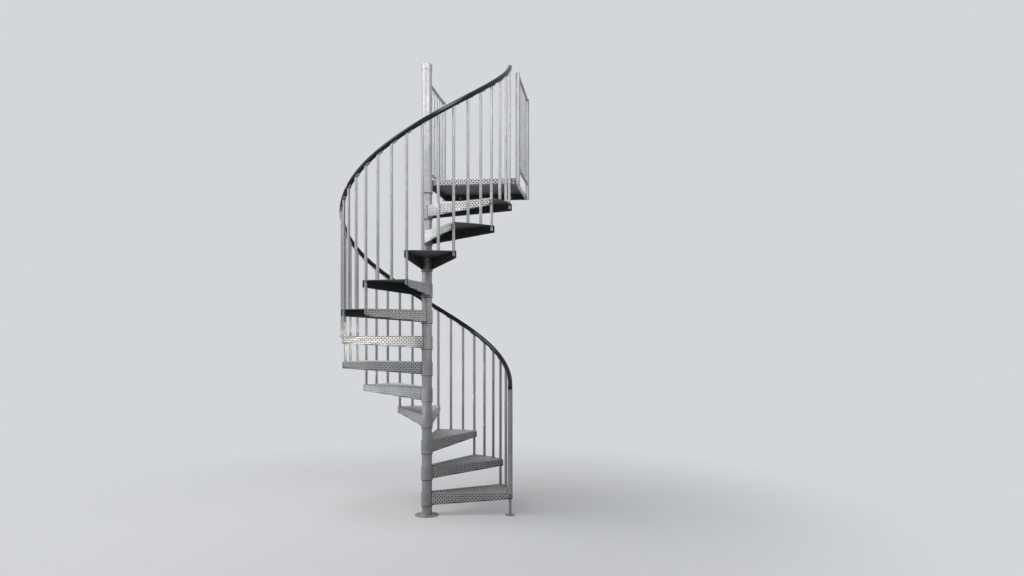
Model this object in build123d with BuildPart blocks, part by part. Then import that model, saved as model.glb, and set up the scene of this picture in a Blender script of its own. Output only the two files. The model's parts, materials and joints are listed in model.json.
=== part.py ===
from build123d import *
from math import acos, asin, atan, cos, degrees, radians, sin, tan
import os

# Outdoor spiral stair, in mm and degrees. The origin is under the base flange on the column's axis,
# +Z up, +X along the wall that the landing meets and +Y towards that wall. Azimuths turn from +X to +Y,
# the way the stair climbs.

# Rise and turn of the flight
riser = 227.6
first_rise = 201.5
tread_count = 12
flight_turn = 352.2
first_nosing = 5.0

# Column and base
pole_outer = 88.9
pole_wall = 5.5
pole_above_guard = 97.0
cap_height = 48.0
cap_wall = 2.5
cap_fit = 0.3
cap_edge_radius = 2.2
base_diameter = 208.0
base_thickness = 8.0
base_bolt_circle = 152.0
base_bolt_hole = 13.0
base_bolt_count = 4
base_bolt_turn = 8.0

# Treads: bent checker plate, welded to a collar that slides over the pole, with the lines of its two
# straight edges passing the axis inside the collar's outline
tip_radius = 750.0
plate_thickness = 3.0
bend_inner_wall = 0.5
nosing_depth_hub = 108.0
nosing_depth_tip = 57.0
collar_outer = 101.6
collar_height = 120.0
collar_fit = 0.3
edge_inset = 14.8

# Balusters, newel and foot post
baluster_outer = 24.0
baluster_wall = 2.0
baluster_inset = 21.0
baluster_edge_gap = 1.0
baluster_hole_fit = 0.3
baluster_tail = 40.0
balusters_per_tread = 3
newel_outer = 42.2
newel_wall = 3.0
newel_edge_gap = 1.0
foot_post_outer = 24.0
foot_post_wall = 2.0
foot_plate_diameter = 88.0
foot_plate_thickness = 6.0

# Saddle tabs that carry the handrail
tab_thickness = 3.0
tab_tail = 4.0
tab_reach = 42.0
seat_gap = 0.3

# Handrail
rail_outer = 40.0
rail_wall = 4.0
rail_height = 928.0
rail_run_before_newel = 42.0
rail_run_past_top = 57.0
rail_cap_length = 9.0
rail_cap_radius = 7.0

# Landing and its two guards
landing_right = 780.0
landing_back = 844.0
landing_flange = 57.0
landing_bolt_hole = 14.0
landing_bolt_spacing = 500.0
guard_height = 910.0
guard_post_outer = 38.1
guard_post_wall = 2.5
guard_post_gap = 0.3
guard_rail_outer = 26.0
guard_rail_wall = 2.0
guard_bottom_rail_height = 94.0
guard_joint_gap = 0.3
guard_baluster_count = 6
guard_neck_height = 26.0
guard_neck_width = 18.0

# Places worked out from the sizes above
tread_pitch = flight_turn / tread_count
landing_top = first_rise + tread_count * riser
rail_radius = tip_radius - baluster_inset
pole_radius = pole_outer / 2
collar_radius = collar_outer / 2
hub_radius = collar_radius - edge_inset
bend_radius = plate_thickness - bend_inner_wall
edge_skew = degrees(asin(hub_radius / tip_radius))
rail_slope = degrees(atan(riser / (radians(tread_pitch) * rail_radius)))
guard_post_radius = guard_post_outer / 2
guard_rail_radius = guard_rail_outer / 2


def azimuth_inside_edge(distance):
    """Angle past the nosing corner at which the baluster circle lies this far inside the tread's edge."""
    return edge_skew - degrees(asin((hub_radius - distance) / rail_radius))


edge_azimuth = azimuth_inside_edge(plate_thickness + baluster_edge_gap + baluster_outer / 2)
newel_azimuth = azimuth_inside_edge(newel_edge_gap + newel_outer / 2)
tread_span = tread_pitch + 2 * edge_azimuth
last_baluster_azimuth = first_nosing + flight_turn + edge_azimuth
landing_front = rail_radius * sin(radians(last_baluster_azimuth)) + baluster_outer / 2 + guard_joint_gap


def tread_top(number):
    return first_rise + (number - 1) * riser


def nosing_azimuth(number):
    return first_nosing + (number - 1) * tread_pitch


def polar(radius, azimuth):
    return (radius * cos(radians(azimuth)), radius * sin(radians(azimuth)))


def rail_centre_above_nosing(azimuth):
    """Height of the handrail's centre over a tread's top, this many degrees past that tread's nosing."""
    return rail_height + riser * azimuth / tread_pitch


def seat_plane(azimuth):
    """Plane under the handrail, sloping with it: local X is outwards and local Y is up the rail."""
    outward = Vector(cos(radians(azimuth)), sin(radians(azimuth)), 0)
    along = Vector(-outward.Y, outward.X, 0)
    slope = radians(rail_slope)
    normal = along * -sin(slope) + Vector(0, 0, cos(slope))
    centre = outward * rail_radius + Vector(0, 0, rail_centre_above_nosing(azimuth))
    return Plane(origin=centre - normal * (rail_outer / 2 + seat_gap), x_dir=outward, z_dir=normal)


def edge_plane(root, tip):
    """Upright plane along a tread's edge, with local X outwards from the hub and local Y up."""
    run = Vector(tip[0] - root[0], tip[1] - root[1], 0)
    return Plane(origin=(root[0], root[1], 0), x_dir=run, z_dir=(run.Y, -run.X, 0))


def tread_plate(has_front_hole):
    """One tread with its nosing corner at azimuth 0 and its top at height 0."""
    front_tip = polar(tip_radius, 0)
    rear_tip = polar(tip_radius, tread_span)
    front_root = polar(hub_radius, edge_skew - 90)
    rear_root = polar(hub_radius, tread_span + 90 - edge_skew)
    edge_length = tip_radius * cos(radians(edge_skew))
    skirt = [(0, 0), (edge_length, 0), (edge_length, -nosing_depth_tip), (0, -nosing_depth_hub)]
    with BuildPart() as step:
        with BuildSketch():
            with BuildLine():
                Polyline(front_tip, front_root, rear_root, rear_tip)
                ThreePointArc(rear_tip, polar(tip_radius, tread_span / 2), front_tip)
            make_face()
        extrude(amount=-plate_thickness)
        with BuildSketch(edge_plane(front_root, front_tip)):
            Polygon(*skirt, align=None)
        extrude(amount=-plate_thickness)
        with BuildSketch(edge_plane(rear_root, rear_tip)):
            Polygon(*skirt, align=None)
        extrude(amount=plate_thickness)
        top_lines = step.edges().filter_by(GeomType.LINE).group_by(Axis.Z)[-1]
        fillet(top_lines.sort_by(SortBy.LENGTH)[-2:], radius=bend_radius)
        with BuildSketch():
            Circle(collar_radius)
        extrude(amount=-collar_height)
        with BuildSketch():
            Circle(pole_radius + collar_fit)
        extrude(amount=-max(collar_height, nosing_depth_hub), mode=Mode.SUBTRACT)
        holes = [polar(rail_radius, tread_pitch + edge_azimuth)]
        if has_front_hole:
            holes.append(polar(rail_radius, edge_azimuth))
        with BuildSketch():
            with Locations(*holes):
                Circle(baluster_outer / 2 + baluster_hole_fit)
        extrude(amount=-plate_thickness, mode=Mode.SUBTRACT)
    return step.part


def rail_post(azimuth, foot, outer, wall):
    """A tube that stands at this height and is cut to the handrail's slope at its top."""
    seat = seat_plane(azimuth)
    top = seat.origin.Z + outer / 2 * tan(radians(rail_slope))
    with BuildPart() as post:
        with BuildSketch(Plane.XY.offset(foot)):
            with Locations(polar(rail_radius, azimuth)):
                Circle(outer / 2)
                Circle(outer / 2 - wall, mode=Mode.SUBTRACT)
        extrude(amount=top - foot)
        with BuildSketch(seat):
            Rectangle(2 * outer, 3 * outer)
        extrude(amount=2 * outer, mode=Mode.SUBTRACT)
    return post.part


def baluster(azimuth, foot):
    """A rail post with the saddle tab that runs up under the handrail."""
    tail = baluster_outer / 2 / cos(radians(rail_slope)) + tab_tail
    post = rail_post(azimuth, foot, baluster_outer, baluster_wall)
    with BuildPart() as bar:
        add(post)
        with BuildSketch(seat_plane(azimuth)):
            with Locations((0, (tab_reach - tail) / 2)):
                SlotOverall(tab_reach + tail, baluster_outer, rotation=90)
        extrude(amount=-tab_thickness)
    return bar.part


def place(shape, number):
    """A copy of a piece that belongs to one tread, turned and raised to that tread."""
    with BuildPart() as placed:
        with Locations(Location((0, 0, tread_top(number)), (0, 0, nosing_azimuth(number)))):
            add(shape)
    return placed.part


def save(part, name):
    part.label = name
    export_step(part, f"parts/{name}.step")


os.makedirs("parts", exist_ok=True)

# Base flange with its four anchor holes
with BuildPart() as base_flange:
    with BuildSketch():
        Circle(base_diameter / 2)
        with PolarLocations(base_bolt_circle / 2, base_bolt_count, start_angle=base_bolt_turn):
            Circle(base_bolt_hole / 2, mode=Mode.SUBTRACT)
    extrude(amount=base_thickness)
save(base_flange.part, "base_flange")

# Pole from the base flange to the cap
pole_top = landing_top + guard_height + pole_above_guard
with BuildPart() as centre_pole:
    with BuildSketch(Plane.XY.offset(base_thickness)):
        Circle(pole_radius)
        Circle(pole_radius - pole_wall, mode=Mode.SUBTRACT)
    extrude(amount=pole_top - base_thickness)
save(centre_pole.part, "centre_pole")

# Cap over the pole's top
cap_bore = pole_radius + cap_fit
with BuildPart() as pole_cap:
    with BuildSketch(Plane.XY.offset(pole_top + cap_wall)):
        Circle(cap_bore + cap_wall)
    extrude(amount=-cap_height)
    fillet(pole_cap.faces().sort_by(Axis.Z)[-1].edges(), radius=cap_edge_radius)
    with BuildSketch(Plane.XY.offset(pole_top)):
        Circle(cap_bore)
    extrude(amount=-cap_height, mode=Mode.SUBTRACT)
save(pole_cap.part, "pole_cap")

# Treads, with the first one standing on its foot post instead of a baluster
first_tread = tread_plate(has_front_hole=False)
other_tread = tread_plate(has_front_hole=True)
for number in range(1, tread_count + 1):
    shape = first_tread if number == 1 else other_tread
    save(place(shape, number), f"tread_{number:02d}")

# Balusters of each tread: the ones that stand on it, then the one that ties it to the tread above
baluster_step = tread_pitch / balusters_per_tread
set_pieces = []
for index in range(1, balusters_per_tread):
    set_pieces.append(baluster(edge_azimuth + index * baluster_step, 0))
set_pieces.append(baluster(edge_azimuth + tread_pitch, -baluster_tail))
with BuildPart() as baluster_set:
    add(set_pieces)
for number in range(1, tread_count + 1):
    save(place(baluster_set.part, number), f"balusters_{number:02d}")

# Newel post on the first tread, and the foot post under it
save(place(rail_post(newel_azimuth, 0, newel_outer, newel_wall), 1), "newel_post")

foot_point = polar(rail_radius, first_nosing + newel_azimuth)
with BuildPart() as foot_post:
    with BuildSketch():
        with Locations(foot_point):
            Circle(foot_plate_diameter / 2)
    extrude(amount=foot_plate_thickness)
    with BuildSketch(Plane.XY.offset(foot_plate_thickness)):
        with Locations(foot_point):
            Circle(foot_post_outer / 2)
            Circle(foot_post_outer / 2 - foot_post_wall, mode=Mode.SUBTRACT)
    extrude(amount=first_rise - plate_thickness - foot_plate_thickness)
save(foot_post.part, "foot_post")

# Handrail: one tube on a helix, from just before the newel to just past the last baluster
rail_start = first_nosing + newel_azimuth - degrees(rail_run_before_newel / rail_radius)
rail_end = last_baluster_azimuth + degrees(rail_run_past_top / rail_radius)
rail_start_height = first_rise + rail_centre_above_nosing(rail_start - first_nosing)
rail_rise_per_turn = riser * 360 / tread_pitch
rail_rise = riser * (rail_end - rail_start) / tread_pitch
rail_place = Location((0, 0, rail_start_height), (0, 0, rail_start))
with BuildPart() as rail_tube:
    with BuildLine() as rail_line:
        Helix(pitch=rail_rise_per_turn, height=rail_rise, radius=rail_radius)
    with BuildSketch(Plane(origin=rail_line.line @ 0, z_dir=rail_line.line % 0)):
        Circle(rail_outer / 2)
        Circle(rail_outer / 2 - rail_wall, mode=Mode.SUBTRACT)
    sweep(is_frenet=True)
with BuildPart() as handrail:
    with Locations(rail_place):
        add(rail_tube.part)
save(handrail.part, "handrail")

# Caps on the handrail's two ends
with BuildPart() as rail_caps:
    for end, direction in ((0, -1), (1, 1)):
        tangent = (rail_line.line % end) * direction
        with BuildSketch(Plane(origin=rail_line.line @ end, z_dir=tangent)):
            Circle(rail_outer / 2)
        extrude(amount=rail_cap_length)
    cap_rims = rail_caps.faces().sort_by(Axis.Z)
    fillet([cap_rims[0].edges(), cap_rims[-1].edges()], radius=rail_cap_radius)
with BuildPart() as handrail_end_caps:
    with Locations(rail_place):
        add(rail_caps.part)
save(handrail_end_caps.part, "handrail_end_caps")

# Landing: a pan of the same plate, welded to a collar at its front left corner
landing_depth = landing_back - landing_front
landing_centre = (landing_right / 2, landing_front + landing_depth / 2)
with BuildPart() as landing_platform:
    with BuildSketch(Plane.XY.offset(landing_top)):
        with Locations(landing_centre):
            Rectangle(landing_right, landing_depth)
    extrude(amount=-landing_flange)
    fillet(landing_platform.faces().sort_by(Axis.Z)[-1].edges(), radius=bend_radius)
    with BuildSketch(Plane.XY.offset(landing_top - plate_thickness)):
        with Locations(landing_centre):
            Rectangle(landing_right - 2 * plate_thickness, landing_depth - 2 * plate_thickness)
    extrude(amount=-landing_flange, mode=Mode.SUBTRACT)
    with BuildSketch(Plane.XY.offset(landing_top)):
        Circle(collar_radius)
    extrude(amount=-collar_height)
    with BuildSketch(Plane.XY.offset(landing_top)):
        Circle(pole_radius + collar_fit)
    extrude(amount=-collar_height, mode=Mode.SUBTRACT)
    back_face = Plane(
        origin=(landing_right / 2, landing_back, landing_top - (landing_flange + plate_thickness) / 2),
        x_dir=(-1, 0, 0),
        z_dir=(0, 1, 0),
    )
    with BuildSketch(back_face):
        with GridLocations(landing_bolt_spacing, 0, 2, 1):
            Circle(landing_bolt_hole / 2)
    extrude(amount=-2 * plate_thickness, mode=Mode.SUBTRACT)
save(landing_platform.part, "landing_platform")

# Guards: round posts outside the landing's side flanges, with rails and balusters between
guard_offset = guard_post_radius + guard_post_gap
guard_lines = {"left": -guard_offset, "right": landing_right + guard_offset}
guard_front = landing_front + guard_post_radius
guard_rear = landing_back - guard_post_radius
guard_top_rail_z = landing_top + guard_height - guard_rail_radius
guard_bottom_rail_z = landing_top + guard_bottom_rail_height
guard_rail_planes = {"top_rail": guard_top_rail_z, "bottom_rail": guard_bottom_rail_z}
guard_baluster_pitch = (guard_rear - guard_front) / (guard_baluster_count + 1)


def guard_post(side, y):
    """Closed-top tube from the flange's bottom edge to the guard's height."""
    foot = landing_top - landing_flange
    with BuildPart() as post:
        with BuildSketch(Plane.XY.offset(foot)):
            with Locations((guard_lines[side], y)):
                Circle(guard_post_radius)
        extrude(amount=landing_flange + guard_height)
        fillet(post.faces().sort_by(Axis.Z)[-1].edges(), radius=guard_post_wall / 2)
        with BuildSketch(Plane.XY.offset(foot)):
            with Locations((guard_lines[side], y)):
                Circle(guard_post_radius - guard_post_wall)
        extrude(amount=landing_flange + guard_height - guard_post_wall, mode=Mode.SUBTRACT)
    return post.part


def guard_rail(side, height):
    """Straight tube coped to the rear post, and to the front post or the pole at its other end."""
    x = guard_lines[side]
    front_point = (0, 0) if side == "left" else (x, guard_front)
    front_radius = pole_radius if side == "left" else guard_post_radius
    with BuildPart() as rail:
        with BuildSketch(Plane(origin=(x, guard_front, height), x_dir=(1, 0, 0), z_dir=(0, 1, 0))):
            Circle(guard_rail_radius)
            Circle(guard_rail_radius - guard_rail_wall, mode=Mode.SUBTRACT)
        extrude(amount=guard_rear - guard_front)
        with BuildSketch(Plane.XY.offset(height)):
            with Locations(front_point):
                Circle(front_radius + guard_joint_gap)
            with Locations((x, guard_rear)):
                Circle(guard_post_radius + guard_joint_gap)
        extrude(amount=guard_rail_outer, both=True, mode=Mode.SUBTRACT)
        leftovers = rail.solids().sort_by(SortBy.VOLUME)[:-1]
        if leftovers:
            add(leftovers, mode=Mode.SUBTRACT)
    return rail.part


def guard_balusters(side):
    """Upright tubes on the bottom rail, each with a narrow neck up to the top rail."""
    x = guard_lines[side]
    neck_top = guard_top_rail_z - guard_rail_radius - guard_joint_gap
    with BuildPart() as bars:
        for index in range(1, guard_baluster_count + 1):
            point = (x, guard_front + index * guard_baluster_pitch)
            with BuildSketch(Plane.XY.offset(guard_bottom_rail_z)):
                with Locations(point):
                    Circle(baluster_outer / 2)
                    Circle(baluster_outer / 2 - baluster_wall, mode=Mode.SUBTRACT)
            extrude(amount=neck_top - guard_neck_height - guard_bottom_rail_z)
            with BuildSketch(Plane.XY.offset(neck_top - guard_neck_height)):
                with Locations(point):
                    Circle(baluster_outer / 2)
            extrude(amount=-tab_thickness)
            with BuildSketch(Plane.XY.offset(neck_top - guard_neck_height)):
                with Locations(point):
                    Rectangle(tab_thickness, guard_neck_width)
            extrude(amount=guard_neck_height)
        rail_origin_plane = Plane(
            origin=(x, guard_front, guard_bottom_rail_z), x_dir=(1, 0, 0), z_dir=(0, 1, 0)
        )
        with BuildSketch(rail_origin_plane):
            Circle(guard_rail_radius + guard_joint_gap)
        extrude(amount=guard_rear - guard_front, mode=Mode.SUBTRACT)
    return bars.part


save(guard_post("right", guard_front), "guard_right_front_post")
for side in guard_lines:
    save(guard_post(side, guard_rear), f"guard_{side}_rear_post")
    for rail_name, height in guard_rail_planes.items():
        save(guard_rail(side, height), f"guard_{side}_{rail_name}")
    save(guard_balusters(side), f"guard_{side}_balusters")
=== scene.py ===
import json
import math

import bmesh
import bpy
from mathutils import Matrix, Vector


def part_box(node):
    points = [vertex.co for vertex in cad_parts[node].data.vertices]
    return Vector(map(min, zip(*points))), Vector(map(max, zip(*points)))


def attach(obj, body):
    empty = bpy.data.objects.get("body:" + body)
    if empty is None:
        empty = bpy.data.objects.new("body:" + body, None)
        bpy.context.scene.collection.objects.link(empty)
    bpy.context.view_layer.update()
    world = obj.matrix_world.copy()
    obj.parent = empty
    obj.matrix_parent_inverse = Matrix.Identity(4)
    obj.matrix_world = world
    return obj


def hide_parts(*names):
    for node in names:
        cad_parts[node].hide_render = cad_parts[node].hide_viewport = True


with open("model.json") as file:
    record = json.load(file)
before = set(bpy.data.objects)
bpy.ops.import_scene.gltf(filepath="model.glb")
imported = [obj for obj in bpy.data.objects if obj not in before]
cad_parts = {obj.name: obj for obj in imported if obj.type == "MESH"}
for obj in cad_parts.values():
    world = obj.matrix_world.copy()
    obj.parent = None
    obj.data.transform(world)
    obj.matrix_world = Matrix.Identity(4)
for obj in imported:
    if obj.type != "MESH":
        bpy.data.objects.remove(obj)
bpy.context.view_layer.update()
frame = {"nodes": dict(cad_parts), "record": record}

nodes = frame["nodes"]
print("frame loaded:", len(nodes), "nodes")

# The stair's own sizes, in metres and degrees, as the frame was built
flight = {
    "treads": 12,
    "turn": 352.2,
    "firstNosing": 5.0,
    "tip": 0.750,               # radius of the treads
    "hub": 0.0360,              # circle that the lines of the treads' straight edges touch
    "plate": 0.003,
    "noseAtHub": 0.108,         # depth of the flanges at the hub and at the tip
    "noseAtTip": 0.057,
    "balusterRadius": 0.012,
    "balusterInset": 0.021,
    "balusterGap": 0.001,
    "newelRadius": 0.0211,
    "railRadius": 0.020,
    "railHeight": 0.928,        # rail's centre over a nosing
    "railBefore": 0.042,        # run of the rail before the newel and past the last baluster
    "railPast": 0.057,
    "seatGap": 0.0003,
    "tab": 0.003,
    "footPlate": 0.006,
    "landingFlange": 0.057,
    "landingFront": 0.0083,     # how far the landing's front flange lies before the column's axis
}

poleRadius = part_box("centre_pole")[1].x
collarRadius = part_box("tread_04")[1].x
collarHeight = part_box("tread_04")[1].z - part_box("tread_04")[0].z
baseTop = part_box("base_flange")[1].z
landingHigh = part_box("landing_platform")[1]
treadTops = [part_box(f"tread_{number:02d}")[1].z for number in range(1, flight["treads"] + 1)]
riser = treadTops[1] - treadTops[0]
pitch = flight["turn"] / flight["treads"]
railLine = flight["tip"] - flight["balusterInset"]
edgeSkew = math.degrees(math.asin(flight["hub"] / flight["tip"]))
railSlope = math.atan2(riser, math.radians(pitch) * railLine)


def polar(radius, azimuth, height=0.0):
    turn = math.radians(azimuth)
    return Vector((radius * math.cos(turn), radius * math.sin(turn), height))


def angleInside(distance):      # degrees past the nosing corner where the rail line is this far inside
    return edgeSkew - math.degrees(math.asin((flight["hub"] - distance) / railLine))


edgeAzimuth = angleInside(flight["plate"] + flight["balusterGap"] + flight["balusterRadius"])
newelAzimuth = angleInside(flight["balusterGap"] + flight["newelRadius"])
treadSpan = pitch + 2 * edgeAzimuth
xAxis, yAxis, zAxis = Vector((1, 0, 0)), Vector((0, 1, 0)), Vector((0, 0, 1))
down = -zAxis
edgeLength = flight["tip"] * math.cos(math.radians(edgeSkew))
offCollar = math.sqrt(collarRadius ** 2 - flight["hub"] ** 2)       # where a straight edge leaves the collar
frontRoot = polar(flight["hub"], edgeSkew - 90)
frontTip = polar(flight["tip"], 0)
frontRun = (frontTip - frontRoot).normalized()
rearRoot = polar(flight["hub"], treadSpan + 90 - edgeSkew)
rearTip = polar(flight["tip"], treadSpan)
rearRun = (rearTip - rearRoot).normalized()


def treadPlace(number):         # where tread 1, 2, ... stands, with its nosing corner on its own X axis
    turn = math.radians(flight["firstNosing"] + (number - 1) * pitch)
    return Matrix.Translation((0, 0, treadTops[number - 1])) @ Matrix.Rotation(turn, 4, "Z")


# Camera at the photograph's place: 28 mm lens, level, a little right of the stair
camera = {
    "place": (1.566, -6.842, 1.666),
    "turn": 6.8,                # degrees to the left of +Y
    "lens": 28.03,
    "sensor": 36.0,
    "rise": 0.0359,             # shift that puts the horizon below the middle
    "sight": 200.0,
}


def addCamera():
    lens = bpy.data.cameras.new("viewCamera")
    lens.lens = camera["lens"]
    lens.sensor_width = camera["sensor"]
    lens.shift_y = camera["rise"]
    lens.clip_end = camera["sight"]
    holder = bpy.data.objects.new("viewCamera", lens)
    holder.location = camera["place"]
    holder.rotation_euler = (math.radians(90), 0, math.radians(camera["turn"]))
    bpy.context.scene.collection.objects.link(holder)
    bpy.context.scene.camera = holder


addCamera()
bpy.context.scene.view_settings.view_transform = "Standard"


# Shader maths: a Wire is a socket that takes part in plain arithmetic
class Wire:
    def __init__(self, finish, socket):
        self.finish = finish
        self.socket = socket

    def __add__(self, other):
        return self.finish.maths("ADD", self, other)

    __radd__ = __add__

    def __sub__(self, other):
        return self.finish.maths("SUBTRACT", self, other)

    def __rsub__(self, other):
        return self.finish.maths("SUBTRACT", other, self)

    def __mul__(self, other):
        return self.finish.maths("MULTIPLY", self, other)

    __rmul__ = __mul__


class Finish:
    def __init__(self, name, world=None):
        self.material = world or bpy.data.materials.new(name)
        self.material.use_nodes = True
        self.tree = self.material.node_tree
        self.tree.nodes.clear()

    def node(self, kind, settings=None, values=None, output=0):
        made = self.tree.nodes.new("ShaderNode" + kind)
        for key, value in (settings or {}).items():
            setattr(made, key, value)
        for key, value in (values or {}).items():
            if isinstance(value, Wire):
                self.tree.links.new(value.socket, made.inputs[key])
            else:
                made.inputs[key].default_value = value
        return Wire(self, made.outputs[output])

    def maths(self, operation, *values):
        return self.node("Math", {"operation": operation}, dict(enumerate(values)))

    def mixed(self, share, first, second):      # first and second are colours or their wires
        colours = [value if isinstance(value, Wire) else (*value, 1.0) for value in (first, second)]
        return self.node("Mix", {"data_type": "RGBA"}, {0: share, 6: colours[0], 7: colours[1]}, 2)

    def done(self, shader, kind="Material"):
        end = self.tree.nodes.new("ShaderNodeOutput" + kind)
        self.tree.links.new(shader.socket, end.inputs["Surface"])


# Hot-dip zinc: crystals a few millimetres across, soft clouds, and paler runs down the upright tubes
mottle = {
    "tone": {"crystal": 0.30, "flower": 0.28, "cloud": 0.62, "grain": 0.10, "base": -0.16},
    "relief": {"crystal": 0.30, "flower": 0.50, "grain": 0.50},         # beside 1 for the clouds
    "reliefHeight": 0.0006,
    "flowerScale": 0.42,        # the large crystals' scale as a share of the small ones'
    "grainScale": 420.0,
    "runScale": (70.0, 70.0, 2.6),
    "dulling": 0.16,            # roughness that crystals and the gaps between clouds add
}
tubeZinc = {
    "dark": (0.31, 0.315, 0.325),
    "light": (0.55, 0.55, 0.55),
    "crystals": 95.0,
    "clouds": 11.0,
    "runs": 0.22,
    "roughness": 0.40,
    "metallic": 0.50,
    "bump": 0.10,
}
plateZinc = {
    # painted shade between the lugs: this zinc is made far darker than the same zinc on the tubes
    "dark": (0.065, 0.07, 0.08),
    "light": (0.155, 0.16, 0.165),
    "crystals": 80.0,
    "clouds": 7.0,
    "runs": 0.0,
    "roughness": 0.42,
    "metallic": 0.40,
    "bump": 0.30,
    # painted shade: near-black colour and low metallic on the plates' undersides and inner flange faces
    "hollowShade": (0.055, 0.055, 0.055),
    "hollowShadeMetallic": 0.10,
    "seamShadow": 0.005,              # painted shadow: a dark line at the foot of each collar
    "collarSlack": 0.0006,
    "underTread": 0.75,         # share of a riser under a tread's top that is still that tread
}
lugZinc = {
    # pale lug tops: partly wear, partly painted highlight
    "dark": (0.62, 0.62, 0.62),
    "light": (0.88, 0.87, 0.85),
    "crystals": 120.0,
    "clouds": 8.0,
    "runs": 0.0,
    "roughness": 0.30,
    "metallic": 0.50,
    "bump": 0.15,
}
weldZinc = {
    "dark": (0.30, 0.30, 0.31),
    "light": (0.52, 0.52, 0.51),
    "crystals": 260.0,
    "clouds": 40.0,
    "runs": 0.0,
    "roughness": 0.44,
    "metallic": 0.65,
    "bump": 0.45,
}
boltZinc = {
    "dark": (0.20, 0.20, 0.21),
    "light": (0.46, 0.46, 0.45),
    "crystals": 420.0,
    "clouds": 60.0,
    "runs": 0.0,
    "roughness": 0.28,
    "metallic": 0.85,
    "bump": 0.20,
}


def inner(finish, distances):    # 1 where every distance is more than half the plate's thickness
    least = distances[0]
    for distance in distances[1:]:
        least = finish.maths("MINIMUM", least, distance)
    return finish.maths("GREATER_THAN", least, flight["plate"] / 2)


def treadHollowShade(finish, place):     # mask of the tread's inner faces, which get painted shade, and the depth under its top
    height = finish.node("SeparateXYZ", None, {"Vector": place}, "Z")
    lowest = treadTops[0] - plateZinc["underTread"] * riser
    step = finish.maths("FLOOR", (height - lowest) * (1 / riser))
    turn = -math.radians(flight["firstNosing"]) - math.radians(pitch) * step
    own = finish.node("VectorRotate", {"rotation_type": "Z_AXIS"}, {"Vector": place, "Angle": turn})
    flat = finish.node("VectorMath", {"operation": "MULTIPLY"}, {0: own, 1: (1.0, 1.0, 0.0)})
    reach = finish.node("VectorMath", {"operation": "LENGTH"}, {0: flat}, "Value")
    depth = treadTops[0] + riser * step - height
    distances = [depth, flight["tip"] - reach]
    for inward in (Vector((-frontRun.y, frontRun.x, 0)), Vector((rearRun.y, -rearRun.x, 0))):
        along = finish.node("VectorMath", {"operation": "DOT_PRODUCT"}, {0: own, 1: inward}, "Value")
        distances.append(along + flight["hub"])
    return inner(finish, distances), depth


# mask of the landing's inner faces, which get painted shade, and the depth under its top
def landingHollowShade(finish, place):
    axes = [finish.node("SeparateXYZ", None, {"Vector": place}, axis) for axis in "XYZ"]
    depth = landingHigh.z - axes[2]
    sides = [axes[0], landingHigh.x - axes[0]]
    sides += [axes[1] + flight["landingFront"], landingHigh.y - axes[1]]
    return inner(finish, [*sides, depth]), depth


def zincFinish(name, look, hollowShade=None):
    finish = Finish(name)
    place = finish.node("TexCoord", output="Object")
    cell = finish.node("TexVoronoi", None, {"Vector": place, "Scale": look["crystals"]}, "Color")
    crystal = finish.node("SeparateColor", None, {"Color": cell}, "Red")
    large = look["crystals"] * mottle["flowerScale"]
    largeCell = finish.node("TexVoronoi", None, {"Vector": place, "Scale": large}, "Color")
    flower = finish.node("SeparateColor", None, {"Color": largeCell}, "Green")
    cloud = finish.node("TexNoise", None, {"Vector": place, "Scale": look["clouds"], "Detail": 5.0,
                                           "Roughness": 0.62})
    grain = finish.node("TexNoise", None, {"Vector": place, "Scale": mottle["grainScale"], "Detail": 3.0})
    share = mottle["tone"]
    tone = share["crystal"] * crystal + share["flower"] * flower + share["cloud"] * cloud
    tone = tone + share["grain"] * grain + share["base"]
    if look["runs"]:
        stretched = finish.node("Mapping", None, {"Vector": place, "Scale": mottle["runScale"]})
        run = finish.node("TexNoise", None, {"Vector": stretched, "Scale": 1.0, "Detail": 4.0})
        tone = tone + look["runs"] * (run - 0.5)
    colour = finish.mixed(tone, look["dark"], look["light"])
    metallic = look["metallic"]
    if hollowShade:
        inside, depth = hollowShade(finish, place)
        tubeColour = finish.mixed(tone, tubeZinc["dark"], tubeZinc["light"])
        # painted shadow in a band at the foot of each collar
        seamShadow = finish.maths("GREATER_THAN", depth, collarHeight - look["seamShadow"])
        flat = finish.node("VectorMath", {"operation": "MULTIPLY"}, {0: place, 1: (1.0, 1.0, 0.0)})
        reach = finish.node("VectorMath", {"operation": "LENGTH"}, {0: flat}, "Value")
        onCollar = finish.maths("LESS_THAN", reach, collarRadius + look["collarSlack"])
        # painted shade on the inner faces, except on the collar
        under = inside * (1.0 - onCollar)
        colour = finish.mixed(onCollar, colour, finish.mixed(seamShadow, tubeColour, look["dark"]))
        colour = finish.mixed(under, colour, look["hollowShade"])
        metallic = metallic - (metallic - look["hollowShadeMetallic"]) * under
    roughness = look["roughness"] + mottle["dulling"] * crystal + mottle["dulling"] * (1.0 - cloud)
    relief = mottle["relief"]
    height = relief["flower"] * flower + relief["crystal"] * crystal + relief["grain"] * grain + cloud
    normal = finish.node("Bump", None, {"Strength": look["bump"], "Distance": mottle["reliefHeight"],
                                        "Height": height})
    finish.done(finish.node("BsdfPrincipled", None, {
        "Base Color": colour, "Roughness": roughness, "Metallic": metallic, "Normal": normal}))
    return finish.material


vinyl = {
    # near-black vinyl; its slight blue cast is painted sky reflection
    "dark": (0.004, 0.005, 0.009),
    "light": (0.010, 0.013, 0.024),
    "roughness": 0.07,
    "cloudScale": 14.0,
    "cloudDulling": 0.06,
    "peelScale": 360.0,         # fine orange peel
    "peelDulling": 0.03,
    "gloss": 0.36,
    "shine": (0.72, 0.86, 1.0),         # painted blue sky reflection on its shine
    "bump": 0.06,
    "bumpHeight": 0.0004,
}


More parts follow.
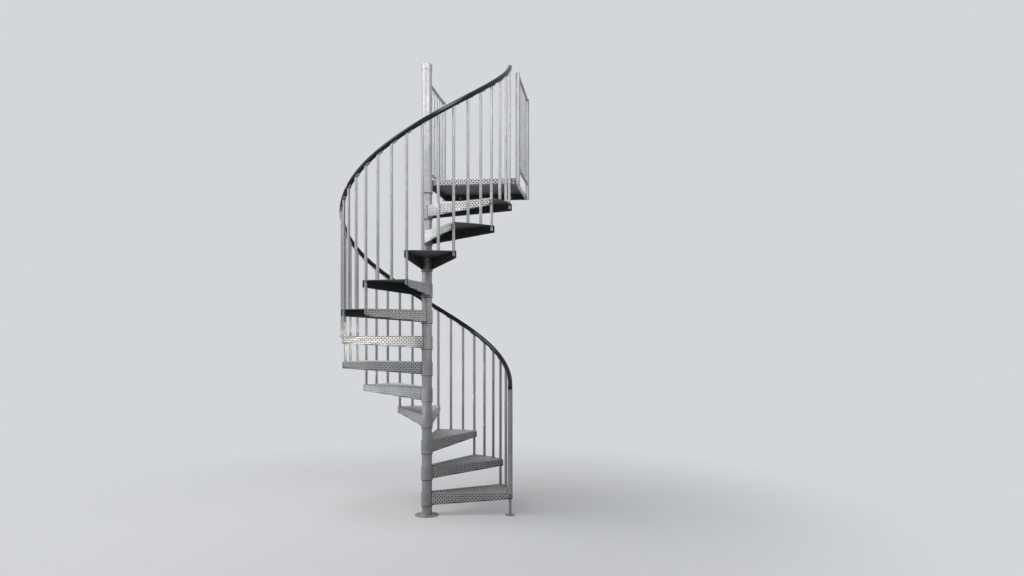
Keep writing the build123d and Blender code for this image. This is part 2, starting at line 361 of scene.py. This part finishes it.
def vinylFinish(name):
    finish = Finish(name)
    place = finish.node("TexCoord", output="Object")
    cloud = finish.node("TexNoise", None, {"Vector": place, "Scale": vinyl["cloudScale"], "Detail": 4.0})
    peel = finish.node("TexNoise", None, {"Vector": place, "Scale": vinyl["peelScale"], "Detail": 2.0})
    colour = finish.mixed(cloud, vinyl["dark"], vinyl["light"])
    roughness = vinyl["roughness"] + vinyl["cloudDulling"] * cloud + vinyl["peelDulling"] * peel
    normal = finish.node("Bump", None, {"Strength": vinyl["bump"], "Distance": vinyl["bumpHeight"],
                                        "Height": peel})
    finish.done(finish.node("BsdfPrincipled", None, {
        "Base Color": colour, "Roughness": roughness, "Normal": normal,
        "Specular IOR Level": vinyl["gloss"], "Specular Tint": (*vinyl["shine"], 1.0)}))
    return finish.material


finishes = {
    "galvanised_tube": zincFinish("galvanisedTube", tubeZinc),
    "galvanised_plate": zincFinish("galvanisedPlate", plateZinc, treadHollowShade),
    "landing_plate": zincFinish("landingPlate", plateZinc, landingHollowShade),
    "rail_vinyl": vinylFinish("railVinyl"),
    "lug": zincFinish("wornHighlitLug", lugZinc),
    "weld": zincFinish("weldBead", weldZinc),
    "bolt": zincFinish("boltZinc", boltZinc),
}
for part in frame["record"]["subparts"]:
    slots = nodes[part["node"]].data.materials
    slots.clear()
    slots.append(finishes["landing_plate" if part["node"] == "landing_platform" else part["material_slot"]])
print("finishes ready:", len(finishes))


def addPiece(name, mesh, finish):
    mesh.materials.clear()
    mesh.materials.append(finishes[finish])
    piece = bpy.data.objects.new(name, mesh)
    bpy.context.scene.collection.objects.link(piece)
    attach(piece, "root")
    return piece


def ofKind(items, kind):
    return [item for item in items if isinstance(item, kind)]


def asMesh(bm, name, sharpAngle):
    bmesh.ops.recalc_face_normals(bm, faces=bm.faces)
    mesh = bpy.data.meshes.new(name)
    bm.to_mesh(mesh)
    bm.free()
    mesh.shade_smooth()
    mesh.set_sharp_from_angle(angle=math.radians(sharpAngle))
    return mesh


def joined(name, copies):       # one mesh out of (mesh, place) pairs
    bm = bmesh.new()
    for mesh, place in copies:
        copy = mesh.copy()
        copy.transform(place)
        bm.from_mesh(copy)
        bpy.data.meshes.remove(copy)
    whole = bpy.data.meshes.new(name)
    bm.to_mesh(whole)
    bm.free()
    return whole


# Checker plate: pointed lugs in pairs that cross at a right angle, stamped outwards
lug = {
    "pitch": 0.016,
    "length": 0.0217,
    "width": 0.0064,
    "height": 0.0012,
    "sink": 0.0002,
    "slant": 45,                # degrees that a lug lies askew to its row
    "crown": (0.70, 0.80),      # width and length of the lug's top as shares of its foot
    "room": 0.0080,             # nearer than this to an edge along the rows, a lug is made smaller
    "askew": 0.70,              # share of a distance that counts where an edge is askew to the rows
    "least": 0.45,              # and below this share of its size it is left out
    "weldRoom": 0.003,          # bare strip beside a collar or a post
}


def lugMesh():
    bm = bmesh.new()
    foot = bmesh.ops.create_circle(bm, cap_ends=True, segments=6, radius=0.5)["verts"]
    bmesh.ops.scale(bm, vec=(lug["width"] * 2 / math.sqrt(3), lug["length"], 1.0), verts=foot)
    bmesh.ops.translate(bm, vec=(0, 0, -lug["sink"]), verts=foot)
    raised = bmesh.ops.extrude_face_region(bm, geom=bm.faces[:])["geom"]
    crown = ofKind(raised, bmesh.types.BMVert)
    bmesh.ops.scale(bm, vec=(*lug["crown"], 1.0), verts=crown)
    bmesh.ops.translate(bm, vec=(0, 0, lug["height"] + lug["sink"]), verts=crown)
    return asMesh(bm, "lug", 80.0)


def stampTree(pattern):         # puts the pattern on each point, turned by the point's own turn
    tree = bpy.data.node_groups.new("lugStamp", "GeometryNodeTree")
    tree.interface.new_socket("Geometry", in_out="INPUT", socket_type="NodeSocketGeometry")
    tree.interface.new_socket("Geometry", in_out="OUTPUT", socket_type="NodeSocketGeometry")
    kinds = {
        "points": "NodeGroupInput",
        "source": "GeometryNodeObjectInfo",
        "turn": "GeometryNodeInputNamedAttribute",
        "share": "GeometryNodeInputNamedAttribute",
        "spin": "ShaderNodeCombineXYZ",
        "put": "GeometryNodeInstanceOnPoints",
        "real": "GeometryNodeRealizeInstances",
        "result": "NodeGroupOutput",
    }
    made = {key: tree.nodes.new(kind) for key, kind in kinds.items()}
    made["source"].inputs["Object"].default_value = pattern
    for attribute in ("turn", "share"):
        made[attribute].inputs["Name"].default_value = attribute
    for start, end in (
        (made["points"].outputs[0], made["put"].inputs["Points"]),
        (made["source"].outputs["Geometry"], made["put"].inputs["Instance"]),
        (made["turn"].outputs["Attribute"], made["spin"].inputs["Z"]),
        (made["spin"].outputs[0], made["put"].inputs["Rotation"]),
        (made["share"].outputs["Attribute"], made["put"].inputs["Scale"]),
        (made["put"].outputs[0], made["real"].inputs[0]),
        (made["real"].outputs[0], made["result"].inputs[0]),
    ):
        tree.links.new(start, end)
    return tree


lugPattern = bpy.data.objects.new("lugPattern", lugMesh())
lugStamp = stampTree(lugPattern)


def lugField(width, depth, roomAt):     # rows of lugs, each as large as roomAt(x, y) lets it be
    spots = []
    for column in range(int(width / lug["pitch"]) + 1):
        for row in range(int(depth / lug["pitch"]) + 1):
            x = (column + 0.5) * lug["pitch"]
            y = (row + 0.5) * lug["pitch"]
            share = min(1.0, roomAt(x, y) / lug["room"])
            if share > lug["least"]:
                slant = lug["slant"] if (column + row) % 2 else -lug["slant"]
                spots.append((x, y, math.radians(slant), share))
    points = bpy.data.meshes.new("lugPoints")
    points.from_pydata([(x, y, 0) for x, y, turn, share in spots], [], [])
    points.attributes.new("turn", "FLOAT", "POINT").data.foreach_set("value", [spot[2] for spot in spots])
    points.attributes.new("share", "FLOAT", "POINT").data.foreach_set("value", [spot[3] for spot in spots])
    carrier = bpy.data.objects.new("lugPoints", points)
    bpy.context.scene.collection.objects.link(carrier)
    carrier.modifiers.new("stamp", "NODES").node_group = lugStamp
    graph = bpy.context.evaluated_depsgraph_get()
    field = bpy.data.meshes.new_from_object(carrier.evaluated_get(graph))
    bpy.data.objects.remove(carrier)
    return field


def planeFrom(origin, across, up):      # matrix with X across, Y up and Z out of the face
    out = across.cross(up)
    turned = Matrix((across, up, out)).transposed().to_4x4()
    return Matrix.Translation(origin) @ turned


treadScrewDrop = 0.030          # how far under the tread's top the screw of its tie baluster sits
landingScrews = {"x": 0.762, "drops": (0.0150, 0.0425), "rearX": (0.14, 0.64), "rearDrop": 0.030}
screwRoom = {"tread": 0.008, "landing": 0.0145}      # bare rings round the washers


def screwReach(azimuth):        # how far from the hub the screw of the post at this azimuth sits
    return (polar(railLine, azimuth) - frontRoot).dot(frontRun)


def nearest(along, askew):      # distance to the nearest edge, along the rows or askew to them
    return min(along + [distance * lug["askew"] for distance in askew])


def flangeField(run, screws):   # run(x) is how far from the hub x lies, and y goes down from the top edge
    def roomAt(x, y):
        depth = flight["noseAtHub"] + (flight["noseAtTip"] - flight["noseAtHub"]) * run(x) / edgeLength
        fromHub = run(x) - offCollar - lug["weldRoom"]
        fromScrews = [math.hypot(run(x) - reach, y - treadScrewDrop) - screwRoom["tread"]
                      for reach in screws]
        return nearest([fromHub, edgeLength - run(x), y, depth - y], fromScrews)

    return lugField(edgeLength, flight["noseAtHub"], roomAt)


def treadField(toTread, posts):     # nosing edge along +x from the hub, the rest of the tread in +y
    def roomAt(x, y):
        spot = toTread @ Vector((x, y, 0))
        fromRear = rearRun.cross(rearRoot - spot).z
        fromPosts = [(spot - post).length - radius - lug["weldRoom"] for post, radius in posts]
        fromCollar = spot.length - collarRadius - lug["weldRoom"]
        return nearest([y], [fromRear, flight["tip"] - spot.length, fromCollar] + fromPosts)

    return lugField(edgeLength, flight["tip"], roomAt)


def treadLugs(posts, screw):
    toTread = planeFrom(frontRoot, frontRun, Vector((-frontRun.y, frontRun.x, 0)))
    front = planeFrom(frontTip, -frontRun, down)
    rear = planeFrom(rearRoot, rearRun, down)
    return joined("treadLugs", [
        (treadField(toTread, posts), toTread),
        (flangeField(lambda x: edgeLength - x, [screw]), front),
        (flangeField(lambda x: x, []), rear),
    ])


balusterSpots = [(polar(railLine, edgeAzimuth + index * pitch / 3), flight["balusterRadius"])
                 for index in range(4)]
newelSpot = (polar(railLine, newelAzimuth), flight["newelRadius"])
firstLugs = treadLugs([newelSpot] + balusterSpots[1:], screwReach(newelAzimuth))
otherLugs = treadLugs(balusterSpots, screwReach(edgeAzimuth))
for number in range(1, flight["treads"] + 1):
    copy = (firstLugs if number == 1 else otherLugs).copy()
    copy.transform(treadPlace(number))
    addPiece(f"tread_lugs_{number:02d}", copy, "lug")
print("tread lugs:", len(otherLugs.polygons), "faces a tread")


def landingLugs():
    left, front, top = 0.0, -flight["landingFront"], landingHigh.z
    right, back = landingHigh.x, landingHigh.y
    wide, deep, drop = right - left, back - front, flight["landingFlange"]

    def onTop(x, y):
        fromPole = math.hypot(left + x, front + y) - collarRadius - lug["weldRoom"]
        return nearest([x, wide - x, y, deep - y], [fromPole])

    def onFlange(length, bareStart=0.0, screws=()):
        def roomAt(x, y):
            fromScrews = [math.hypot(x - across, y - fall) - screwRoom["landing"] for across, fall in screws]
            return nearest([x - bareStart, length - x, y, drop - y], fromScrews)
        return lugField(length, drop, roomAt)

    screws = [(right - landingScrews["x"], fall) for fall in landingScrews["drops"]]
    return joined("landing_lugs", [
        (lugField(wide, deep, onTop), planeFrom(Vector((left, front, top)), xAxis, yAxis)),
        (onFlange(wide - collarRadius, screws=screws), planeFrom(Vector((right, front, top)), -xAxis, down)),
        (onFlange(deep), planeFrom(Vector((right, back, top)), -yAxis, down)),
        (onFlange(deep, collarRadius + front), planeFrom(Vector((left, front, top)), yAxis, down)),
    ])


addPiece("landing_lugs", landingLugs(), "lug")
print("landing lugs done")

# Handrail: one smooth vinyl tube on a helix with domed ends
handrail = {
    "around": 32,
    "stepAngle": 2.0,           # degrees of turn between two rings
    "dome": 0.0088,             # how far each end's dome reaches
    "domeRings": 6,
    "domeTurn": 84,             # degrees round the dome at which its flat middle starts
}


def railHeight(azimuth):        # height of the rail's centre at an azimuth, in degrees from +X
    return treadTops[0] + flight["railHeight"] + riser * (azimuth - flight["firstNosing"]) / pitch


railStart = flight["firstNosing"] + newelAzimuth - math.degrees(flight["railBefore"] / railLine)
lastBaluster = flight["firstNosing"] + flight["turn"] + edgeAzimuth
railEnd = lastBaluster + math.degrees(flight["railPast"] / railLine)


def railFrame(azimuth):         # X outwards, Y down from the rail, Z up along it, origin on its centre line
    place = Matrix.Translation((0, 0, railHeight(azimuth))) @ Matrix.Rotation(math.radians(azimuth), 4, "Z")
    return place @ Matrix.Translation((railLine, 0, 0)) @ Matrix.Rotation(railSlope - math.pi / 2, 4, "X")


def domeEnd(bm, rim, along):    # closes a ring of edges with a dome that bulges along this way
    rings = handrail["domeRings"]
    turns = [math.radians(handrail["domeTurn"]) * ring / rings for ring in range(rings + 1)]
    for before, after in zip(turns, turns[1:]):
        grown = bmesh.ops.extrude_edge_only(bm, edges=rim)["geom"]
        verts = ofKind(grown, bmesh.types.BMVert)
        rim = ofKind(grown, bmesh.types.BMEdge)
        centre = sum((vert.co for vert in verts), Vector()) / len(verts)
        share = math.cos(after) / math.cos(before)
        bmesh.ops.scale(bm, vec=(share, share, share), space=Matrix.Translation(-centre), verts=verts)
        rise = handrail["dome"] * (math.sin(after) - math.sin(before))
        bmesh.ops.translate(bm, vec=along * rise, verts=verts)
    bmesh.ops.holes_fill(bm, edges=rim)


def handrailMesh():
    bm = bmesh.new()
    start, end = railFrame(railStart), railFrame(railEnd)
    ring = bmesh.ops.create_circle(bm, segments=handrail["around"], radius=flight["railRadius"],
                                   matrix=start)
    first = bm.edges[:]
    steps = round((railEnd - railStart) / handrail["stepAngle"])
    climb = (railHeight(railEnd) - railHeight(railStart)) / steps
    turn = math.radians(railEnd - railStart)
    spun = bmesh.ops.spin(bm, geom=ring["verts"] + first, axis=(0, 0, 1), dvec=(0, 0, climb),
                          angle=turn, steps=steps)
    domeEnd(bm, first, start.to_3x3() @ Vector((0, 0, -1)))
    domeEnd(bm, ofKind(spun["geom_last"], bmesh.types.BMEdge), end.to_3x3() @ Vector((0, 0, 1)))
    return asMesh(bm, "handrail_cover", 60.0)


cover = addPiece("handrail_cover", handrailMesh(), "rail_vinyl")
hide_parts("handrail", "handrail_end_caps")
print("handrail:", len(cover.data.polygons), "faces")

# Weld beads, rippled as a hand-laid bead is
weld = {
    "radius": 0.0026,
    "sides": 6,
    "ripple": 0.16,             # share of the bead's radius
    "ripplePitch": 0.0045,
    "step": 0.0018,             # length of bead between two rings
    "offTube": 0.25,            # how far the bead's middle is off its tube, as a share of its radius
    "offCorner": 0.6,           # the same off a tread's corner at the collar
    "overRail": 1.02,           # radius on which a baluster's bead sits, as a share of the rail's
    "taper": 0.004,             # length over which a straight bead's ends are drawn in
    "blunt": 0.001,
    "merge": 0.00001,
    "baseSize": 1.5,
    "railSize": 0.8,
    "hubFoot": 0.010,           # bare ends of the flanges' beads at the hub, low and high
    "hubHead": 0.008,
    "postEnds": 0.005,          # bare ends of the beads between guard posts and the landing's flange
    "postSide": 0.0085,
    "postSink": 0.0018,
}


def ringBead(tube, onto=None, axisAt=0.0, size=1.0):
    # bead round a tube that stands on a flat face, or on a cylinder along Y whose axis passes x = axisAt
    radius = weld["radius"] * size
    middle = tube + weld["offTube"] * radius
    length = 2 * math.pi * middle
    bm = bmesh.new()
    upright = Matrix.Translation((middle, 0, 0)) @ Matrix.Rotation(math.pi / 2, 4, "X")
    bmesh.ops.create_circle(bm, segments=weld["sides"], radius=radius, matrix=upright)
    bmesh.ops.spin(bm, geom=bm.verts[:] + bm.edges[:], axis=(0, 0, 1), angle=2 * math.pi,
                   steps=round(length / weld["step"]), use_merge=True)
    bmesh.ops.remove_doubles(bm, verts=bm.verts, dist=weld["merge"])
    ripples = round(length / weld["ripplePitch"])
    for vert in bm.verts:
        angle = math.atan2(vert.co.y, vert.co.x)
        core = Vector((middle * math.cos(angle), middle * math.sin(angle), 0))
        vert.co = core + (vert.co - core) * (1 + weld["ripple"] * math.sin(ripples * angle))
        if onto:
            vert.co.z += math.sqrt(max(0.0, onto ** 2 - (vert.co.x - axisAt) ** 2))
    return asMesh(bm, "bead", 60.0)


def straightBead(length):       # bead along +Z from the origin, drawn in at its two ends
    bm = bmesh.new()
    bmesh.ops.create_circle(bm, segments=weld["sides"], radius=weld["radius"])
    steps = round(length / weld["step"])
    bmesh.ops.spin(bm, geom=bm.verts[:] + bm.edges[:], axis=(0, 0, 1), dvec=(0, 0, length / steps),
                   steps=steps)
    bmesh.ops.holes_fill(bm, edges=bm.edges)
    for vert in bm.verts:
        wave = 1 + weld["ripple"] * math.sin(vert.co.z / weld["ripplePitch"] * 2 * math.pi)
        toEnd = min(vert.co.z, length - vert.co.z) + weld["blunt"]
        share = wave * min(1.0, toEnd / weld["taper"])
        vert.co.x *= share
        vert.co.y *= share
    return asMesh(bm, "bead", 60.0)


postBead = ringBead(flight["balusterRadius"])
newelBead = ringBead(flight["newelRadius"])
hubBead = straightBead(flight["noseAtHub"] - weld["hubFoot"] - weld["hubHead"])


def treadWelds(number):
    beads = [(polar(railLine, edgeAzimuth + index * pitch / 3), postBead) for index in (1, 2)]
    if number == 1:
        beads.append((polar(railLine, newelAzimuth), newelBead))
    else:
        beads.append((polar(railLine, edgeAzimuth), postBead))
    for root, run in ((frontRoot, frontRun), (rearRoot, rearRun)):
        corner = root + run * (offCollar + weld["radius"] * weld["offCorner"])
        beads.append((corner + down * (flight["noseAtHub"] - weld["hubFoot"]), hubBead))
    place = treadPlace(number)
    copies = [(bead, place @ Matrix.Translation(spot)) for spot, bead in beads]
    return joined(f"tread_welds_{number:02d}", copies)


for number in range(1, flight["treads"] + 1):
    addPiece(f"tread_welds_{number:02d}", treadWelds(number), "weld")


def middle(node):
    low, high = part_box(node)
    return (low + high) / 2


def baseWelds():
    foot = middle("foot_post")
    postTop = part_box("foot_post")[1].z
    hanging = Matrix.Rotation(math.pi, 4, "X")
    return joined("base_welds", [
        (ringBead(poleRadius, size=weld["baseSize"]), Matrix.Translation((0, 0, baseTop))),
        (postBead, Matrix.Translation((foot.x, foot.y, flight["footPlate"]))),
        (postBead, Matrix.Translation((foot.x, foot.y, postTop)) @ hanging),
    ])


addPiece("base_welds", baseWelds(), "weld")

# Where the guards' tubes meet each other, the pole and the landing's side flanges
guardBars = 6


def guardWelds(side):
    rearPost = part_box(f"guard_{side}_rear_post")
    postRadius = (rearPost[1].x - rearPost[0].x) / 2
    x, rear = middle(f"guard_{side}_rear_post").xy
    front = middle("guard_right_front_post").y
    copies = []
    for rail in ("bottom_rail", "top_rail"):
        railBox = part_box(f"guard_{side}_{rail}")
        z = middle(f"guard_{side}_{rail}").z
        railRadius = (railBox[1].x - railBox[0].x) / 2
        onPost = ringBead(railRadius, postRadius, size=weld["railSize"])
        copies.append((onPost, planeFrom(Vector((x, rear, z)), xAxis, zAxis)))
        if side == "left":
            onPole = ringBead(railRadius, poleRadius, x, size=weld["railSize"])
            copies.append((onPole, planeFrom(Vector((x, 0, z)), -xAxis, zAxis)))
        else:
            copies.append((onPost, planeFrom(Vector((x, front, z)), -xAxis, zAxis)))
    lowRail = middle(f"guard_{side}_bottom_rail").z
    onRail = ringBead(flight["balusterRadius"], railRadius * weld["overRail"], size=weld["railSize"])
    for index in range(1, guardBars + 1):
        y = front + index * (rear - front) / (guardBars + 1)
        copies.append((onRail, Matrix.Translation((x, y, lowRail))))
    flangeBead = straightBead(flight["landingFlange"] - 2 * weld["postEnds"])
    inward = 1 if side == "left" else -1
    foot = landingHigh.z - flight["landingFlange"] + weld["postEnds"]
    for y in (rear, front) if side == "right" else (rear,):
        for along in (-weld["postSide"], weld["postSide"]):
            spot = Vector((x + inward * (postRadius - weld["postSink"]), y + along, foot))
            copies.append((flangeBead, Matrix.Translation(spot)))
    return joined(f"guard_{side}_welds", copies)


for side in ("left", "right"):
    addPiece(f"guard_{side}_welds", guardWelds(side), "weld")
print("weld beads done")

# Bolts and screws: hexagon heads on round washers, each head turned by some degrees from the one before
fasteners = {
    "anchor": {"flats": 0.019, "head": 0.0080, "washer": 0.0125, "thick": 0.0025, "turns": (0, 17)},
    "landing": {"flats": 0.016, "head": 0.0065, "washer": 0.0135, "thick": 0.0022, "turns": (12, 31)},
    "tread": {"flats": 0.010, "head": 0.0045, "washer": 0.0072, "thick": 0.0015, "turns": (0, 23)},
    "tab": {"flats": 0.008, "head": 0.0035, "washer": 0.0055, "thick": 0.0010, "turns": (0, 20)},
}
headShape = {"around": 28, "washerTop": 0.97, "rounding": 0.16}     # shares of washer and head
anchorCircle = {"radius": 0.076, "count": 4, "turn": 8.0}
tabScrewAlong = 0.031           # how far up the rail from its baluster a tab's screw sits


def hexHead(size):              # stands on z = 0 and faces +Z
    bm = bmesh.new()
    thick, head, corner = size["thick"], size["head"], size["flats"] / math.sqrt(3)
    bmesh.ops.create_cone(bm, cap_ends=True, segments=headShape["around"], radius1=size["washer"],
                          radius2=size["washer"] * headShape["washerTop"], depth=thick,
                          matrix=Matrix.Translation((0, 0, thick / 2)))
    bmesh.ops.create_cone(bm, cap_ends=True, segments=6, radius1=corner, radius2=corner, depth=head,
                          matrix=Matrix.Translation((0, 0, thick + head / 2)))
    top = max(bm.faces, key=lambda face: face.calc_center_median().z)
    bmesh.ops.bevel(bm, geom=top.edges[:], offset=head * headShape["rounding"], segments=2, profile=0.5,
                    affect="EDGES", material=-1)
    return asMesh(bm, "hexHead", 30.0)


heads = {name: hexHead(size) for name, size in fasteners.items()}


def facing(spot, out, kind, index):     # puts a head's foot on a spot, looking along out
    looking = out.to_track_quat("Z", "X").to_matrix().to_4x4()
    first, each = fasteners[kind]["turns"]
    return Matrix.Translation(spot) @ looking @ Matrix.Rotation(math.radians(first + each * index), 4, "Z")


def anchorBolts():
    copies = []
    for index in range(anchorCircle["count"]):
        azimuth = anchorCircle["turn"] + index * 360 / anchorCircle["count"]
        spot = polar(anchorCircle["radius"], azimuth, baseTop)
        copies.append((heads["anchor"], facing(spot, zAxis, "anchor", index)))
    return joined("anchor_bolts", copies)


def landingBolts():
    inside = landingHigh.y - flight["plate"]
    spots = [Vector((landingScrews["x"], -flight["landingFront"], landingHigh.z - drop))
             for drop in landingScrews["drops"]]
    spots += [Vector((x, inside, landingHigh.z - landingScrews["rearDrop"])) for x in landingScrews["rearX"]]
    copies = [(heads["landing"], facing(spot, -yAxis, "landing", index)) for index, spot in enumerate(spots)]
    return joined("landing_bolts", copies)


def treadScrews():
    out = Vector((frontRun.y, -frontRun.x, 0))
    copies = []
    for number in range(1, flight["treads"] + 1):
        reach = screwReach(newelAzimuth if number == 1 else edgeAzimuth)
        spot = frontRoot + frontRun * reach + Vector((0, 0, -treadScrewDrop))
        copies.append((heads["tread"], treadPlace(number) @ facing(spot, out, "tread", number)))
    return joined("tread_screws", copies)


def tabScrews():
    drop = flight["railRadius"] + flight["seatGap"] + flight["tab"]
    under = Matrix.Translation((0, drop, tabScrewAlong))
    copies = []
    for index in range(1, 3 * flight["treads"] + 1):
        azimuth = flight["firstNosing"] + edgeAzimuth + index * pitch / 3
        copies.append((heads["tab"], railFrame(azimuth) @ under @ facing(Vector(), yAxis, "tab", index)))
    return joined("tab_screws", copies)


addPiece("anchor_bolts", anchorBolts(), "bolt")
addPiece("landing_bolts", landingBolts(), "bolt")
addPiece("tread_screws", treadScrews(), "bolt")
addPiece("tab_screws", tabScrews(), "bolt")
print("bolts and screws done")

# Stage: a pale floor that fades into a pale backdrop, and throws little light up at the treads
stage = {
    "reach": 60.0,
    "seen": (0.88, 0.88, 0.87),
    "bounce": (0.25, 0.25, 0.25),
    "fadeFrom": 0.8,            # metres from the column at which the floor starts to melt into the backdrop
    "fadeTo": 4.6,
    "ownTone": 0.45,            # share of the backdrop's tone in the floor beside the stair
    "skySeen": (0.66, 0.68, 0.70),
    "skyLight": (0.62, 0.66, 0.72),
    "skyStrength": 0.05,
}


def eyeShare(finish):           # 1 where the eye, a reflection or a pane sees the surface
    rays = [finish.node("LightPath", output=name)
            for name in ("Is Camera Ray", "Is Glossy Ray", "Is Transmission Ray")]
    return finish.node("Clamp", None, {"Value": rays[0] + rays[1] + rays[2]})


def addFloor():
    bm = bmesh.new()
    bmesh.ops.create_grid(bm, x_segments=1, y_segments=1, size=stage["reach"])
    mesh = bpy.data.meshes.new("studioFloor")
    bm.to_mesh(mesh)
    bm.free()
    finish = Finish("studioFloor")
    seen = eyeShare(finish)
    paper = finish.node("BsdfDiffuse", None, {"Color": finish.mixed(seen, stage["bounce"], stage["seen"])})
    haze = finish.node("Emission", None, {"Color": (*stage["skySeen"], 1.0), "Strength": 1.0})
    place = finish.node("TexCoord", output="Object")
    away = finish.node("VectorMath", {"operation": "LENGTH"}, {0: place}, "Value")
    fade = finish.node("MapRange", {"interpolation_type": "SMOOTHSTEP"},
                       {"Value": away, "From Min": stage["fadeFrom"], "From Max": stage["fadeTo"],
                        "To Min": stage["ownTone"]})
    finish.done(finish.node("MixShader", None, {0: fade * seen, 1: paper, 2: haze}))
    mesh.materials.append(finish.material)
    floor = bpy.data.objects.new("studioFloor", mesh)
    bpy.context.scene.collection.objects.link(floor)


def addSky():
    world = bpy.data.worlds.new("studioSky")
    bpy.context.scene.world = world
    sky = Finish("studioSky", world)
    seen = sky.node("Background", None, {"Color": (*stage["skySeen"], 1.0), "Strength": 1.0})
    light = sky.node("Background", None, {"Color": (*stage["skyLight"], 1.0),
                                          "Strength": stage["skyStrength"]})
    sky.done(sky.node("MixShader", None, {0: eyeShare(sky), 1: light, 2: seen}), "World")


# Four soft lamps light the stair, and four weak narrow ones shine in the flanges of single treads
lamps = {
    "key": {"azimuth": 207, "height": 6.6, "distance": 4.2, "size": (3.4, 3.4), "watts": 285, "spread": 180,
            "aim": (0, 0, 3.0), "colour": (1.0, 1.0, 1.0)},
    "left": {"azimuth": 205, "height": 3.0, "distance": 5.0, "size": (2.6, 2.6), "watts": 40, "spread": 180,
             "aim": (0, 0, 2.6), "colour": (0.90, 0.95, 1.0)},
    "right": {"azimuth": 305, "height": 5.5, "distance": 5.0, "size": (2.5, 2.5), "watts": 26, "spread": 50,
              "aim": (0, 0, 3.7), "colour": (0.94, 0.97, 1.0)},
    "top": {"azimuth": 263, "height": 8.0, "distance": 1.6, "size": (2.0, 2.0), "watts": 15, "spread": 60,
            "aim": (0.25, -0.5, 3.3), "colour": (0.86, 0.93, 1.0)},
    "high": {"azimuth": 168, "height": 3.1, "distance": 4.5, "size": (0.5, 0.3), "watts": 0.65, "spread": 9,
             "aim": (0.25, -0.28, 2.58), "colour": (0.94, 0.98, 1.0)},
    "side": {"azimuth": 14, "height": 1.85, "distance": 4.0, "size": (0.4, 0.12), "watts": 0.09, "spread": 6,
             "aim": (-0.22, -0.38, 1.76), "colour": (1.0, 0.98, 0.94)},
    "warm": {"azimuth": 322, "height": 1.43, "distance": 4.0, "size": (0.6, 0.12), "watts": 0.76,
             "spread": 7, "aim": (-0.45, -0.27, 1.51), "colour": (1.0, 0.94, 0.86)},
    "low": {"azimuth": 209, "height": 0.9, "distance": 4.0, "size": (0.7, 0.3), "watts": 0.72, "spread": 10,
            "aim": (-0.40, 0.12, 1.03), "colour": (0.90, 0.96, 1.0)},
}


def addLamps():
    for name, setting in lamps.items():
        light = bpy.data.lights.new(name, "AREA")
        light.shape = "RECTANGLE"
        light.size, light.size_y = setting["size"]
        light.energy = setting["watts"]
        light.color = setting["colour"]
        light.spread = math.radians(setting["spread"])
        holder = bpy.data.objects.new(name, light)
        holder.location = polar(setting["distance"], setting["azimuth"], setting["height"])
        looking = Vector(setting["aim"]) - holder.location
        holder.rotation_euler = looking.to_track_quat("-Z", "Y").to_euler()
        bpy.context.scene.collection.objects.link(holder)


addFloor()
addSky()
addLamps()
print("stage lit with", len(lamps), "lamps")
